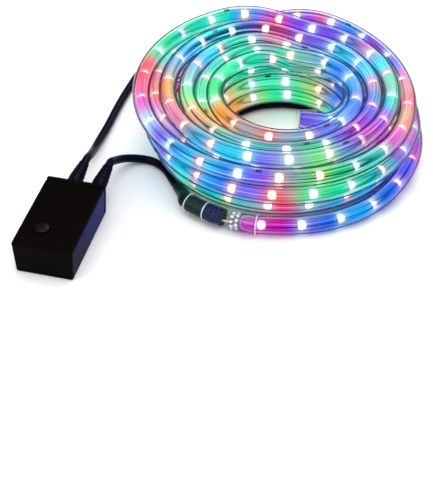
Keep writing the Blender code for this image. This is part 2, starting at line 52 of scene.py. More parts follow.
COIL_AXIS = Vector((0.039647, 0.019602, 0.0))
ROPE_DIAMETER = 0.013
ROPE_RADIUS = ROPE_DIAMETER / 2
LEAD_DIAMETER = 0.006
LAMP_PITCH = 0.0278
CONNECTOR_RADIUS = 0.09983
CONNECTOR_HEIGHT = 0.0076
RINGS_PER_PITCH = 6
UP = Vector((0.0, 0.0, 1.0))

Place = tuple[float, float, float]
Colour = tuple[float, float, float]
Path = list[Vector]
Stops = tuple[tuple[float, float], ...]
Node = bpy.types.Node
Socket = bpy.types.NodeSocket
Feed = Socket | Colour | float


def polar(azimuth: float, radius: float, height: float) -> Vector:
    """The point at this azimuth, in radians, round the coil's axis."""
    return Vector((radius * math.cos(azimuth), radius * math.sin(azimuth), height))


def polar_route(route: Sequence[Place]) -> Path:
    """Points from (azimuth in degrees, radius, height) entries."""
    return [polar(math.radians(azimuth), radius, height) for azimuth, radius, height in route]


def ease(share: float) -> float:
    """A smooth step from 0 to 1."""
    held = min(max(share, 0.0), 1.0)
    return held * held * (3.0 - 2.0 * held)


def evenly_spaced(dense: Path, spacing: float) -> Path:
    """Places points an equal distance apart on a line.

    Args:
        dense: the line's own points.
        spacing: the wanted distance, in metres.

    Returns:
        The new points, both ends kept.
    """
    steps = [0.0]
    for start, end in zip(dense, dense[1:]):
        steps.append(steps[-1] + (end - start).length)
    count = max(2, round(steps[-1] / spacing))
    targets = np.linspace(0.0, steps[-1], count + 1)
    axes = [np.interp(targets, steps, [point[axis] for point in dense]) for axis in range(3)]
    return [Vector(place) for place in zip(*axes)]


def smooth_path(route: Sequence[Vector | Place], spacing: float) -> Path:
    """Reads evenly spaced points from a Catmull-Rom curve.

    Args:
        route: the points that the curve passes through.
        spacing: the distance between the points returned.

    Returns:
        The points along the curve.
    """
    fine = 16
    points = [Vector(point) for point in route]
    ends = [2 * points[0] - points[1], *points, 2 * points[-1] - points[-2]]
    dense = [points[0]]
    for before, start, end, after in zip(ends, ends[1:], ends[2:], ends[3:]):
        for step in range(1, fine + 1):
            t = step / fine
            bend = 2 * before - 5 * start + 4 * end - after
            twist = 3 * start - before - 3 * end + after
            dense.append(start + 0.5 * ((end - before) * t + bend * t**2 + twist * t**3))
    return evenly_spaced(dense, spacing)


def path_length(path: Sequence[Vector]) -> float:
    """The length of a path along its points."""
    return sum((end - start).length for start, end in zip(path, path[1:]))


def headings(path: Sequence[Vector]) -> Path:
    """The direction of travel at each point of a path."""
    last = len(path) - 1
    return [(path[min(i + 1, last)] - path[max(i - 1, 0)]).normalized() for i in range(last + 1)]


class Hue(Enum):
    """The colours that the lamps throw into the rope, as scene-linear light."""

    RED = (0.87, 0.07, 0.10)
    PINK = (0.88, 0.14, 0.34)
    MAGENTA = (0.60, 0.06, 0.50)
    VIOLET = (0.22, 0.13, 0.80)
    BLUE = (0.03, 0.17, 0.86)
    SKY = (0.02, 0.42, 0.92)
    CYAN = (0.01, 0.74, 0.84)
    TEAL = (0.00, 0.76, 0.42)
    GREEN = (0.00, 0.68, 0.20)
    LIME = (0.20, 0.74, 0.20)
    YELLOW = (0.87, 0.62, 0.12)
    ORANGE = (0.90, 0.28, 0.07)
    PEACH = (0.90, 0.45, 0.28)
    SILVER = (0.28, 0.40, 0.50)
    ICE = (0.48, 0.86, 0.96)


class Lane(NamedTuple):
    """Where one turn of the coil runs: its mean radius and height, and how they change round the coil."""

    radius: float
    height: float
    right: float = 0.0
    back: float = 0.0
    sides: float = 0.0
    lift_right: float = 0.0
    lift_back: float = 0.0
    lift_sides: float = 0.0

    def at(self, azimuth: float) -> tuple[float, float]:
        """The lane's radius and height at an azimuth in radians.

        Args:
            azimuth: where round the coil.

        Returns:
            The radius and the height.
        """
        across, along, twice = math.cos(azimuth), math.sin(azimuth), math.cos(2 * azimuth)
        radius = self.radius + self.right * across + self.back * along + self.sides * twice
        height = self.height + self.lift_right * across + self.lift_back * along + self.lift_sides * twice
        return radius, height


class Turn(Enum):
    """The turns of the coil, named by where they lie in its section."""

    START_RUN = Lane(0.0975, 0.0065)
    LOW_OUTER = Lane(0.0880, 0.0154, right=-0.0010, back=0.0015)
    LOW_THIRD = Lane(0.0760, 0.0128)
    LOW_SECOND = Lane(0.0620, 0.0128)
    INNER_FOOT = Lane(0.0480, 0.0128)
    INNER_LOW = Lane(0.0485, 0.0245, lift_right=-0.0010)
    CORE_LOW = Lane(0.0630, 0.0250)
    CORE_MIDDLE = Lane(0.0780, 0.0260)
    WALL_MIDDLE = Lane(0.0950, 0.0280, back=0.0040)
    WALL_HIDDEN = Lane(0.0852, 0.0395, right=-0.0065, back=0.01375, sides=-0.0005,
                       lift_right=-0.0032, lift_back=0.0010)
    WALL_HIGH = Lane(0.0947, 0.0445, right=-0.0055, back=0.0071, sides=0.0018,
                     lift_right=-0.0035, lift_back=0.0070, lift_sides=-0.0015)
    TOP_OUTER = Lane(0.0810, 0.0496, right=-0.0022, back=0.0041, sides=-0.0002,
                     lift_back=0.0012, lift_sides=0.0006)
    TOP_MIDDLE = Lane(0.0678, 0.04815, right=-0.0015, back=0.0032, sides=-0.0003,
                      lift_back=0.0011, lift_sides=0.0009)
    TOP_INNER = Lane(0.0509, 0.0477, right=0.0018, back=-0.0009, lift_back=-0.0004, lift_sides=0.0013)
    CORE_HIGH = Lane(0.0610, 0.0409, right=0.0020, back=-0.0003, lift_right=-0.0042, lift_back=0.0040)
    INNER_HIGH = Lane(0.0512, 0.0362, lift_right=-0.0015)
    TAIL = Lane(0.0197, 0.0456, right=0.0335)

    def place(self, azimuth: float) -> Vector:
        """The turn's point at an azimuth in degrees, measured from the coil's axis."""
        angle = math.radians(azimuth)
        return polar(angle, *self.value.at(angle))


@dataclass
class RopeRun:
    """The rope's whole way: round and round from the connector, one fold, and back round to its cap."""

    rope_mouth: float = -107.8
    sleeve_end: float = -101.2
    step: float = 10.0
    fineness: float = 0.002
    change_right: tuple[float, float] = (-30.0, 15.0)
    change_back: tuple[float, float] = (110.0, 70.0)
    first_lap_from: float = 130.0
    fold_exit: float = 4.0
    start_route: tuple[Place, ...] = (
        (-85.0, 0.0975, 0.0065), (-70.0, 0.0975, 0.0065), (-55.0, 0.0975, 0.0067), (-40.0, 0.0975, 0.0085),
        (-24.0, 0.0975, 0.0112), (-8.0, 0.0975, 0.0130), (10.0, 0.0972, 0.0135), (30.0, 0.0962, 0.0145),
        (50.0, 0.0945, 0.0160), (70.0, 0.0920, 0.0180), (90.0, 0.0880, 0.0205), (104.0, 0.0850, 0.0220),
    )
    fold_route: tuple[Place, ...] = (
        (-20.0, 0.0745, 0.0260), (-10.0, 0.0690, 0.0260), (0.0, 0.0645, 0.0260), (9.0, 0.0640, 0.0260),
        (17.0, 0.0680, 0.0262), (22.0, 0.0760, 0.0265), (22.5, 0.0850, 0.0270), (18.5, 0.0920, 0.0276),
        (11.0, 0.0951, 0.0280),
    )
    tail_route: tuple[Place, ...] = (
        (50.0, 0.0515, 0.0400), (36.0, 0.0515, 0.0418), (22.0, 0.0512, 0.0427), (8.0, 0.0505, 0.0433),
        (-6.0, 0.0488, 0.0438), (-20.0, 0.0470, 0.0445), (-33.0, 0.0456, 0.0450), (-44.5, 0.0436, 0.0454),
        (-48.6, 0.0406, 0.0456), (-52.3, 0.0383, 0.0459),
    )
    tail_straight: float = 0.0128
    outward: tuple[Turn, ...] = (
        Turn.LOW_OUTER, Turn.LOW_THIRD, Turn.LOW_SECOND, Turn.INNER_FOOT,
        Turn.INNER_LOW, Turn.CORE_LOW, Turn.CORE_MIDDLE,
    )
    homeward: tuple[Turn, ...] = (
        Turn.WALL_HIDDEN, Turn.WALL_HIGH, Turn.TOP_OUTER, Turn.TOP_MIDDLE,
        Turn.CORE_HIGH, Turn.TOP_INNER, Turn.INNER_HIGH,
    )

    def lap(self, turn: Turn, start: float, stop: float) -> Path:
        """Points of one turn between two azimuths in degrees, both ends left out."""
        count = max(2, round(abs(stop - start) / self.step))
        return [turn.place(start + (stop - start) * i / count) for i in range(1, count)]

    def change(self, near: Turn, far: Turn, start: float, stop: float) -> Path:
        """Points that move from one turn to another between two azimuths in degrees.

        Args:
            near: the turn that is left.
            far: the turn that is reached.
            start: the first azimuth.
            stop: the last azimuth.

        Returns:
            The points.
        """
        count = max(3, round(abs(stop - start) / self.step))
        moved = []
        for i in range(count + 1):
            azimuth = start + (stop - start) * i / count
            moved.append(near.place(azimuth).lerp(far.place(azimuth), ease(i / count)))
        return moved

    def outward_laps(self) -> Path:
        """The laps that follow the start run, each one moving in on the right-hand side.

        Returns:
            The points.
        """
        first, last = self.change_right
        points = self.lap(self.outward[0], self.first_lap_from, 360.0 + first)
        for near, far in zip(self.outward, self.outward[1:]):
            points += self.change(near, far, first, last)
            points += self.lap(far, last, 360.0 + first)
        return points

    def homeward_laps(self) -> Path:
        """The laps after the fold, running the other way, out over the wall, the top and down the bore.

        Returns:
            The points.
        """
        right_stop, right_start = self.change_right
        first, last = self.change_back
        points = self.lap(Turn.WALL_MIDDLE, self.fold_exit, right_start - 360.0)
        points += self.change(Turn.WALL_MIDDLE, self.homeward[0], right_start, right_stop)
        points += self.lap(self.homeward[0], right_stop, first - 360.0)
        for near, far in zip(self.homeward, self.homeward[1:]):
            points += self.change(near, far, first, last)
            points += self.lap(far, last, first - 360.0)
        return points + self.lap(self.homeward[-1], first, last)

    def path(self) -> Path:
        """Joins the whole way up.

        Returns:
            Ring centres one sixth of a lamp pitch apart, measured from the coil's axis.
        """
        mouth = [self.rope_mouth, (self.rope_mouth + self.sleeve_end) / 2, self.sleeve_end]
        inside = [polar(math.radians(azimuth), CONNECTOR_RADIUS, CONNECTOR_HEIGHT) for azimuth in mouth]
        route = [*inside, *polar_route(self.start_route), *self.outward_laps()]
        route += [*polar_route(self.fold_route), *self.homeward_laps(), *polar_route(self.tail_route)]
        dense = smooth_path(route, self.fineness)
        dense.append(dense[-1] + (dense[-1] - dense[-2]).normalized() * self.tail_straight)
        return evenly_spaced(dense, LAMP_PITCH / RINGS_PER_PITCH)


Spots = dict[Turn, dict[Hue, tuple[int, ...]]]

# The light in the rope: for each turn, the azimuths in degrees where each colour shows.
FIELD: Spots = {
    Turn.WALL_HIGH: {
        Hue.RED: (166, 0), Hue.PINK: (180, 330, 14, 69), Hue.MAGENTA: (190,), Hue.ICE: (198,),
        Hue.VIOLET: (208, 258, 24, 45, 80, 92), Hue.SKY: (220, 57, 104), Hue.CYAN: (232,),
        Hue.BLUE: (245, 34), Hue.SILVER: (270,), Hue.LIME: (284,), Hue.GREEN: (300, 150),
        Hue.TEAL: (315, 118, 134), Hue.ORANGE: (345,),
    },
    Turn.TOP_OUTER: {
        Hue.ORANGE: (180,), Hue.SILVER: (165, -86, -146), Hue.SKY: (150, -132),
        Hue.CYAN: (135, 120, 22, -116), Hue.VIOLET: (106, 78, 62, 48, -28, -58, -102),
        Hue.PINK: (93, 36, -160), Hue.TEAL: (6, -12), Hue.MAGENTA: (-42,), Hue.LIME: (-70,),
    },
    Turn.TOP_MIDDLE: {
        Hue.TEAL: (180, 118, -106), Hue.SILVER: (166, 104, -90, -120), Hue.SKY: (150, 30),
        Hue.CYAN: (134, 46, 16), Hue.PINK: (92, 4), Hue.VIOLET: (76, 60, -28, -58), Hue.BLUE: (-12,),
        Hue.MAGENTA: (-42,), Hue.GREEN: (-74,), Hue.LIME: (-136, -165), Hue.ORANGE: (-150,),
    },
    Turn.TOP_INNER: {
        Hue.GREEN: (180, 162, -168), Hue.TEAL: (140, 118, 84), Hue.SILVER: (100, 66, -88, -122),
        Hue.SKY: (46, 4, -45), Hue.BLUE: (26, -20), Hue.VIOLET: (-68,), Hue.RED: (-106,),
        Hue.ORANGE: (-138, -152),
    },
    Turn.INNER_HIGH: {
        Hue.TEAL: (150, 122, 95), Hue.SILVER: (76, 44), Hue.LIME: (60,), Hue.BLUE: (28,), Hue.SKY: (0,),
    },
    Turn.INNER_LOW: {
        Hue.ORANGE: (150,), Hue.LIME: (132, 66), Hue.TEAL: (112, 90), Hue.PEACH: (48,), Hue.BLUE: (30,),
    },
    Turn.INNER_FOOT: {
        Hue.ORANGE: (145, 180), Hue.PEACH: (122,), Hue.LIME: (104,), Hue.TEAL: (84, 35), Hue.GREEN: (60,),
        Hue.BLUE: (0,), Hue.VIOLET: (-60,), Hue.PINK: (-120,),
    },
    Turn.WALL_MIDDLE: {
        Hue.CYAN: (180, 222, 314), Hue.SKY: (194,), Hue.VIOLET: (208, 252, 346, 2, 110),
        Hue.BLUE: (238, 330, 30), Hue.RED: (266,), Hue.GREEN: (280,), Hue.TEAL: (298, 70), Hue.PINK: (150,),
    },
    Turn.LOW_OUTER: {
        Hue.CYAN: (180, 200), Hue.TEAL: (220, 238, 254), Hue.RED: (268,), Hue.SILVER: (284,),
        Hue.SKY: (300,), Hue.BLUE: (318, 336),
    },
    Turn.START_RUN: {
        Hue.MAGENTA: (-105, -95, -14), Hue.VIOLET: (-84, -30, 4), Hue.BLUE: (-72, -45, 40), Hue.SKY: (-58,),
        Hue.TEAL: (80,), Hue.PINK: (104,),
    },
    Turn.TAIL: {Hue.VIOLET: (-70, -63, -56, -50), Hue.ICE: (-42,), Hue.SKY: (-34,)},
}

# The light of the lamps themselves, in the same form.
LAMPS: Spots = {
    Turn.WALL_HIGH: {
        Hue.RED: (168,), Hue.PINK: (186, 236, 331, 0, 16),
        Hue.ICE: (200, 218, 254, 302, 316, 32, 47, 61, 122, 136, 152), Hue.PEACH: (272,),
        Hue.YELLOW: (286, 79, 109), Hue.ORANGE: (345, 94),
    },
    Turn.TOP_OUTER: {
        Hue.PEACH: (180, 162, -134), Hue.ICE: (145, 126, 110, 76, 60, 28, -6, -78, -97, -115),
        Hue.RED: (93,), Hue.PINK: (44, 10, -24), Hue.MAGENTA: (-42,), Hue.YELLOW: (-60,),
        Hue.ORANGE: (-152, -167),
    },
    Turn.TOP_MIDDLE: {
        Hue.ICE: (180, 112, 48, 24, -72, -98, -122), Hue.PEACH: (155, 132, 92), Hue.PINK: (70, 2, -20),
        Hue.MAGENTA: (-44,), Hue.ORANGE: (-150,),
    },
    Turn.TOP_INNER: {
        Hue.ICE: (172, 146, 118, 64, 36, 8, -26, -56, -164), Hue.PEACH: (92,), Hue.PINK: (-80,),
        Hue.RED: (-106,), Hue.ORANGE: (-138,),
    },
    Turn.INNER_HIGH: {Hue.ICE: (120, 98), Hue.PEACH: (70,), Hue.YELLOW: (44,)},
    Turn.INNER_LOW: {Hue.PEACH: (136,), Hue.ICE: (116, 90), Hue.YELLOW: (56,)},
    Turn.INNER_FOOT: {Hue.ORANGE: (130,), Hue.ICE: (100, 66), Hue.PINK: (-90,)},
    Turn.WALL_MIDDLE: {
        Hue.ICE: (190, 212, 284, 300, 330, 352, 40), Hue.PINK: (230, 312, 90), Hue.PEACH: (250,),
        Hue.ORANGE: (268,), Hue.RED: (140,),
    },
    Turn.LOW_OUTER: {
        Hue.ICE: (200, 256, 285, 324), Hue.PEACH: (222,), Hue.YELLOW: (240,), Hue.RED: (270,),
        Hue.PINK: (302,),
    },
    Turn.START_RUN: {
        Hue.MAGENTA: (-101,), Hue.ICE: (-90, -72, -57, 10, 60), Hue.PINK: (-42,), Hue.RED: (-20,),
    },
    Turn.TAIL: {Hue.VIOLET: (-62,), Hue.ICE: (-42,)},
}


@dataclass
class Light:
    """Works out the light at a place in the coil from the coloured spots round it."""

    spots: Spots
    reach: float
    depth: float = 1.0
    far_share: float = 1e-5
    far_reach: float = 0.01

    def at(self, places: np.ndarray) -> np.ndarray:
        """Mixes the spots by distance.

        Args:
            places: an N x 3 array, measured from the coil's axis.

        Returns:
            An N x 3 array of scene-linear colours.
        """
        flat = [
            (turn.place(azimuth), hue.value)
            for turn, hues in self.spots.items() for hue, azimuths in hues.items() for azimuth in azimuths
        ]
        middles = np.array([place for place, _ in flat])
        hues = np.array([colour for _, colour in flat])
        gaps = np.linalg.norm(places[:, None, :] - middles[None, :, :], axis=2)
        shares = np.exp(-0.5 * (gaps / self.reach) ** 2) + self.far_share / (gaps / self.far_reach) ** 4
        mixed = (shares @ hues) / shares.sum(axis=1, keepdims=True)
        grey = mixed.mean(axis=1, keepdims=True)
        return np.maximum(grey + (mixed - grey) * self.depth, 0.0)


@dataclass
class Wires:
    """Adds and joins the nodes of one tree."""

    tree: bpy.types.NodeTree

    def add(self, kind: str, **feeds: Feed) -> Node:
        """A new node of this kind, its inputs named by keywords with no spaces.

        Args:
            kind: the node's type.
            feeds: what its inputs get, with _ for a space.

        Returns:
            The node.
        """
        node = self.tree.nodes.new(kind)
        self.feed(node, {name.replace("_", " "): value for name, value in feeds.items()})
        return node

    def feed(self, node: Node, feeds: dict[str, Feed]) -> None:
        """Links outputs to a node's named inputs, or gives those inputs plain colours or numbers."""
        for name, value in feeds.items():
            self.plug(node.inputs[name], value)

    def plug(self, target: Socket, value: Feed) -> None:
        """Links an output to one input, or gives the input a plain colour or number.

        Args:
            target: the input.
            value: what it gets.
        """
        if isinstance(value, bpy.types.NodeSocket):
            self.tree.links.new(value, target)
        else:
            target.default_value = (*value, 1.0) if isinstance(value, tuple) else value

    def math(self, operation: str, *values: Socket | float) -> Socket:
        """The result of a math node.

        Args:
            operation: the kind of sum.
            values: its inputs in order.

        Returns:
            The output.
        """
        node = self.add("ShaderNodeMath")
        node.operation = operation
        for target, value in zip(node.inputs, values):
            self.plug(target, value)
        return node.outputs["Value"]

    def ramp(self, source: Socket, stops: Stops) -> Socket:
        """A grey ramp between (position, value) stops.

        Args:
            source: what it reads.
            stops: where it changes, and to what.

        Returns:
            The output.
        """
        node = self.add("ShaderNodeValToRGB", Fac=source)
        for _ in stops[2:]:
            node.color_ramp.elements.new(0.5)
        for element, (position, value) in zip(node.color_ramp.elements, stops):
            element.position = position
            element.color = (value, value, value, 1.0)
        return node.outputs["Color"]

    def climb(self, source: Socket, start: float, stop: float, least: float = 0.0) -> Socket:
        """Maps start to stop onto least to 1."""
        node = self.add("ShaderNodeMapRange", Value=source, From_Min=start, From_Max=stop, To_Min=least)
        return node.outputs["Result"]

    def mix(self, blend: str, share: Socket | float, first: Feed, second: Feed) -> Socket:
        """Mixes two colours.

        Args:
            blend: the blend type.
            share: the factor.
            first: colour A.
            second: colour B.

        Returns:
            The mixed colour's output.
        """
        node = self.add("ShaderNodeMix")
        node.data_type = "RGBA"
        node.blend_type = blend
        targets = {socket.identifier: socket for socket in node.inputs}
        for name, value in (("Factor_Float", share), ("A_Color", first), ("B_Color", second)):
            self.plug(targets[name], value)
        return next(socket for socket in node.outputs if socket.identifier == "Result_Color")

    def split(self, source: Socket) -> bpy.types.bpy_prop_collection:
        """The outputs X, Y and Z of a vector."""
        return self.add("ShaderNodeSeparateXYZ", Vector=source).outputs

    def group(self, tree: bpy.types.NodeTree, feeds: dict[str, Feed]) -> bpy.types.bpy_prop_collection:
        """The outputs of a shared group.

        Args:
            tree: the group.
            feeds: what its inputs get.

        Returns:
            The outputs by name.
        """
        node = self.add("ShaderNodeGroup")
        node.node_tree = tree
        self.feed(node, feeds)
        return node.outputs

    def painted(self, layer: str) -> Socket:
        """The colour painted on the mesh under this name.

        Args:
            layer: the colour attribute's name.

        Returns:
            The output.
        """
        node = self.add("ShaderNodeVertexColor")
        node.layer_name = layer
        return node.outputs["Color"]

    def facing(self, blend: float = 0.5) -> Socket:
        """How much a place turns away from the viewer."""
        return self.add("ShaderNodeLayerWeight", Blend=blend).outputs["Facing"]


class Effects:
    """The shader node groups that several finishes share, each made once."""

    @staticmethod
    def _new(name: str, inputs: dict[str, float | None], outputs: Sequence[str]) -> tuple[Wires, Node, Node]:
        """Makes an empty group with its sockets.

        Args:
            name: the group's name.
            inputs: each input's default, or None for a vector.
            outputs: the names of the outputs, which are all plain numbers.

        Returns:
            The group's wires, its input node and its output node.
        """
        tree = bpy.data.node_groups.new(name, "ShaderNodeTree")
        for label, value in inputs.items():
            kind = "NodeSocketVector" if value is None else "NodeSocketFloat"
            socket = tree.interface.new_socket(label, in_out="INPUT", socket_type=kind)
            if value is not None:
                socket.default_value = value
        for label in outputs:
            tree.interface.new_socket(label, in_out="OUTPUT", socket_type="NodeSocketFloat")
        wires = Wires(tree)
        return wires, wires.add("NodeGroupInput"), wires.add("NodeGroupOutput")

    @staticmethod
    @cache
    def streaks() -> bpy.types.NodeTree:
        """Fine lines that run along the rope, from its UV map: one bright mask, used for painted highlight
        lines, and one dark mask.

        Returns:
            The group.
        """
        inputs = {"Lay": None, "Lines Round": 9.0, "Run": 0.18, "Seed": 0.0}
        wires, enter, leave = Effects._new("lengthwise_streaks", inputs, ("Bright", "Dark"))
        lay = wires.split(enter.outputs["Lay"])
        across = wires.math("MULTIPLY", lay["Y"], enter.outputs["Lines Round"])
        along = wires.math("MULTIPLY", lay["X"], enter.outputs["Run"])
        place = wires.add("ShaderNodeCombineXYZ", X=across, Y=along, Z=enter.outputs["Seed"])
        noise = wires.add(
            "ShaderNodeTexNoise", Vector=place.outputs["Vector"], Scale=1.0, Detail=3.0, Roughness=0.62
        ).outputs["Fac"]
        bright = wires.ramp(noise, ((0.56, 0.0), (0.62, 1.0)))
        dark = wires.ramp(noise, ((0.40, 1.0), (0.46, 0.0)))
        wires.feed(leave, {"Bright": bright, "Dark": dark})
        return wires.tree

    @staticmethod
    @cache
    def halo() -> bpy.types.NodeTree:
        """How near a place on the rope is to the lamp of its own pitch, from 0 to 1.

        Returns:
            The group.
        """
        wires, enter, leave = Effects._new("lamp_halo", {"Lay": None, "Reach": 0.16}, ("Halo",))
        within = wires.math("FRACT", wires.split(enter.outputs["Lay"])["X"])
        gap = wires.math("ABSOLUTE", wires.math("SUBTRACT", within, 0.5))
        share = wires.math("DIVIDE", gap, enter.outputs["Reach"])
        negative = wires.math("MULTIPLY", wires.math("MULTIPLY", share, share), -1.0)
        wires.feed(leave, {"Halo": wires.math("EXPONENT", negative)})
        return wires.tree

    @staticmethod
    @cache
    def grain() -> bpy.types.NodeTree:
        """A moulded surface: fine height, and a slow patchiness for roughness and colour.

        Returns:
            The group.
        """
        inputs = {"Place": None, "Grain Scale": 1800.0, "Patch Scale": 60.0}
        wires, enter, leave = Effects._new("moulded_grain", inputs, ("Height", "Patch"))
        place = enter.outputs["Place"]
        for scale, detail, out in (("Grain Scale", 2.0, "Height"), ("Patch Scale", 4.0, "Patch")):
            noise = wires.add("ShaderNodeTexNoise", Vector=place, Scale=enter.outputs[scale], Detail=detail)
            wires.feed(leave, {out: noise.outputs["Fac"]})
        return wires.tree


def new_material(name: str) -> tuple[bpy.types.Material, Wires, Node]:
    """A material with nodes, its wires and its Principled shader.

    Args:
        name: the material's name.

    Returns:
        The material, its wires and its shader.
    """
    made = bpy.data.materials.new(name)
    made.use_nodes = True
    return made, Wires(made.node_tree), made.node_tree.nodes["Principled BSDF"]


def rope_inputs(wires: Wires, streaks: dict[str, Feed]) -> dict[str, Socket]:
    """Adds the nodes that every rope finish reads.

    Args:
        wires: the material's wires.
        streaks: how fine its streaks are.

    Returns:
        The outputs glow, lamp, bright, dark and halo.
    """
    place = wires.add("ShaderNodeUVMap")
    place.uv_map = "lay"
    lay = {"Lay": place.outputs["UV"]}
    lines = wires.group(Effects.streaks(), lay | streaks)
    return {
        "glow": wires.painted("glow"),
        "lamp": wires.painted("lamp_glow"),
        "bright": lines["Bright"],
        "dark": lines["Dark"],
        "halo": wires.group(Effects.halo(), lay)["Halo"],
    }


@dataclass(frozen=True)
class JacketFinish:
    """The rope's clear outer skin: almost unseen face on, with a painted pale highlight line and a painted
    dark shaded edge at each side, and painted highlight streaks along it.
    """

    name: str = "clear_rope_jacket"
    lines_round: float = 13.0
    lines_run: float = 0.35
    lines_seed: float = 4.0
    # The painted highlight's white and share, and the painted edge shade's dark colour.
    white: Colour = (0.92, 0.94, 1.0)
    painted_highlight_share: float = 0.18
    painted_edge_shade: Colour = (0.05, 0.05, 0.12)
    highlight_streak_share: float = 0.12
    strength: float = 0.25
    roughness: float = 0.09
    specular: float = 0.25
    veil: Stops = (
        (0.0, 0.03), (0.13, 0.04), (0.18, 0.66), (0.25, 0.10),
        (0.36, 0.38), (0.50, 0.22), (0.62, 0.82), (1.0, 0.95),
    )
    depth: Stops = ((0.0, 0.0), (0.13, 0.6), (0.18, 1.0), (0.26, 0.5), (0.34, 0.0), (0.46, 0.1), (0.60, 1.0))

    def build(self) -> bpy.types.Material:
        """Makes the material.

        Returns:
            The material.
        """
        made, wires, shader = new_material(self.name)
        fineness = {"Lines Round": self.lines_round, "Run": self.lines_run, "Seed": self.lines_seed}
        rope = rope_inputs(wires, fineness)
        facing = wires.facing()
        # Painted highlight: the glow mixed towards white. Painted shade: the glow darkened. The depth ramp
        # lays them in bands by how far the skin turns from the view.
        pale = wires.mix("MIX", self.painted_highlight_share, rope["glow"], self.white)
        painted_edge_shade = wires.mix("MULTIPLY", 1.0, rope["glow"], self.painted_edge_shade)
        skin = wires.mix("MIX", wires.ramp(facing, self.depth), pale, painted_edge_shade)
        # The bright streaks are painted highlight lines, which also make the skin less clear.
        lit = wires.math("MULTIPLY", rope["bright"], self.highlight_streak_share)
        alpha = wires.math("ADD", wires.ramp(facing, self.veil), lit)
        alpha.node.use_clamp = True
        wires.feed(shader, {
            "Base Color": skin, "Alpha": alpha, "Emission Color": skin, "Emission Strength": self.strength,
            "Roughness": self.roughness, "Specular IOR Level": self.specular,
        })
        return made


@dataclass(frozen=True)
class CoreFinish:
    """The lit inside of the rope: its own colour, the lamp's halo, and dark lines and painted highlight
    lines along it.
    """

    name: str = "lit_rope_core"
    lines_round: float = 17.0
    lines_run: float = 0.13
    lines_seed: float = 0.0
    halo_share: float = 0.75
    dark: Colour = (0.03, 0.03, 0.12)
    # Colour of the painted highlight lines.
    bright: Colour = (0.30, 0.36, 0.42)
    base_share: float = 0.05
    strength: float = 1.0
    roughness: float = 0.35
    specular: float = 0.1

    def build(self) -> bpy.types.Material:
        """Makes the material.

        Returns:
            The material.
        """
        made, wires, shader = new_material(self.name)
        fineness = {"Lines Round": self.lines_round, "Run": self.lines_run, "Seed": self.lines_seed}
        rope = rope_inputs(wires, fineness)
        halo = wires.math("MULTIPLY", rope["halo"], self.halo_share)
        lit = wires.mix("MIX", halo, rope["glow"], rope["lamp"])
        dimmed = wires.mix("MULTIPLY", rope["dark"], lit, self.dark)
        # Painted highlights: pale lines screened over the lit colour along the bright streaks.
        bright = wires.mix("SCREEN", rope["bright"], dimmed, self.bright)
        base = wires.mix("MULTIPLY", 1.0, bright, (self.base_share,) * 3)
        wires.feed(shader, {
            "Base Color": base, "Roughness": self.roughness, "Specular IOR Level": self.specular,
            "Emission Color": bright, "Emission Strength": self.strength,
        })
        return made


@dataclass(frozen=True)
class LampFinish:
    """The lamps' own bright barrels: nearly white in the middle, and gone at the edge."""

    name: str = "lamp_light"
    middle: Stops = ((0.02, 0.90), (0.24, 0.25))
    fade: Stops = ((0.08, 1.0), (0.36, 0.0))
    white: Colour = (1.0, 1.0, 1.0)
    strength: float = 1.0
    roughness: float = 0.2

    def build(self) -> bpy.types.Material:
        """Makes the material.

        Returns:
            The material.
        """
        made, wires, shader = new_material(self.name)
        facing = wires.facing()
        pale = wires.mix("MIX", wires.ramp(facing, self.middle), wires.painted("lamp_glow"), self.white)
        wires.feed(shader, {
            "Base Color": pale, "Alpha": wires.ramp(facing, self.fade), "Roughness": self.roughness,
            "Emission Color": pale, "Emission Strength": self.strength,
        })
        return made


@dataclass(frozen=True)
class MouldedFinish:
    """Moulded plastic or rubber: fine grain, a slow change of colour and gloss, and, when a reflection
    colour is given, a painted reflection of the coil's blue glow on the faces turned towards +X.
    """

    name: str
    colour: Colour
    worn: Colour
    roughness: float
    specular: float = 0.5
    spread: float = 0.12
    bump: float = 0.15
    bump_height: float = 0.0002
    grain_scale: float = 1800.0
    metallic: float = 0.0
    # A painted reflection of the coil's blue glow: its colour, the normal X and the object Y over which it
    # climbs, and its least share at the near end.
    painted_reflection: Colour | None = None
    painted_reflection_turn: tuple[float, float] = (0.6, 0.9)
    painted_reflection_run: tuple[float, float] = (-0.125, -0.040)
    painted_reflection_least: float = 0.08

    def build(self) -> bpy.types.Material:
        """Makes the material.

        Returns:
            The material.
        """
        made, wires, shader = new_material(self.name)
        where = wires.add("ShaderNodeTexCoord").outputs
        grain = wires.group(Effects.grain(), {"Place": where["Object"], "Grain Scale": self.grain_scale})
        tint = wires.mix("MIX", grain["Patch"], self.colour, self.worn)
        # Painted reflection: the coil's blue glow, mixed in on faces turned towards +X and more towards the
        # far end of the case.
        if self.painted_reflection is not None:
            side = wires.climb(wires.split(where["Normal"])["X"], *self.painted_reflection_turn)
            run = wires.climb(wires.split(where["Object"])["Y"], *self.painted_reflection_run, self.painted_reflection_least)
            tint = wires.mix("MIX", wires.math("MULTIPLY", side, run), tint, self.painted_reflection)
        bump = wires.add(
            "ShaderNodeBump", Strength=self.bump, Distance=self.bump_height, Height=grain["Height"]
        )
        rough = wires.math("MULTIPLY_ADD", grain["Patch"], self.spread, self.roughness - self.spread / 2)
        wires.feed(shader, {
            "Base Color": tint, "Roughness": rough, "Specular IOR Level": self.specular,
            "Normal": bump.outputs["Normal"], "Metallic": self.metallic,
        })
        return made


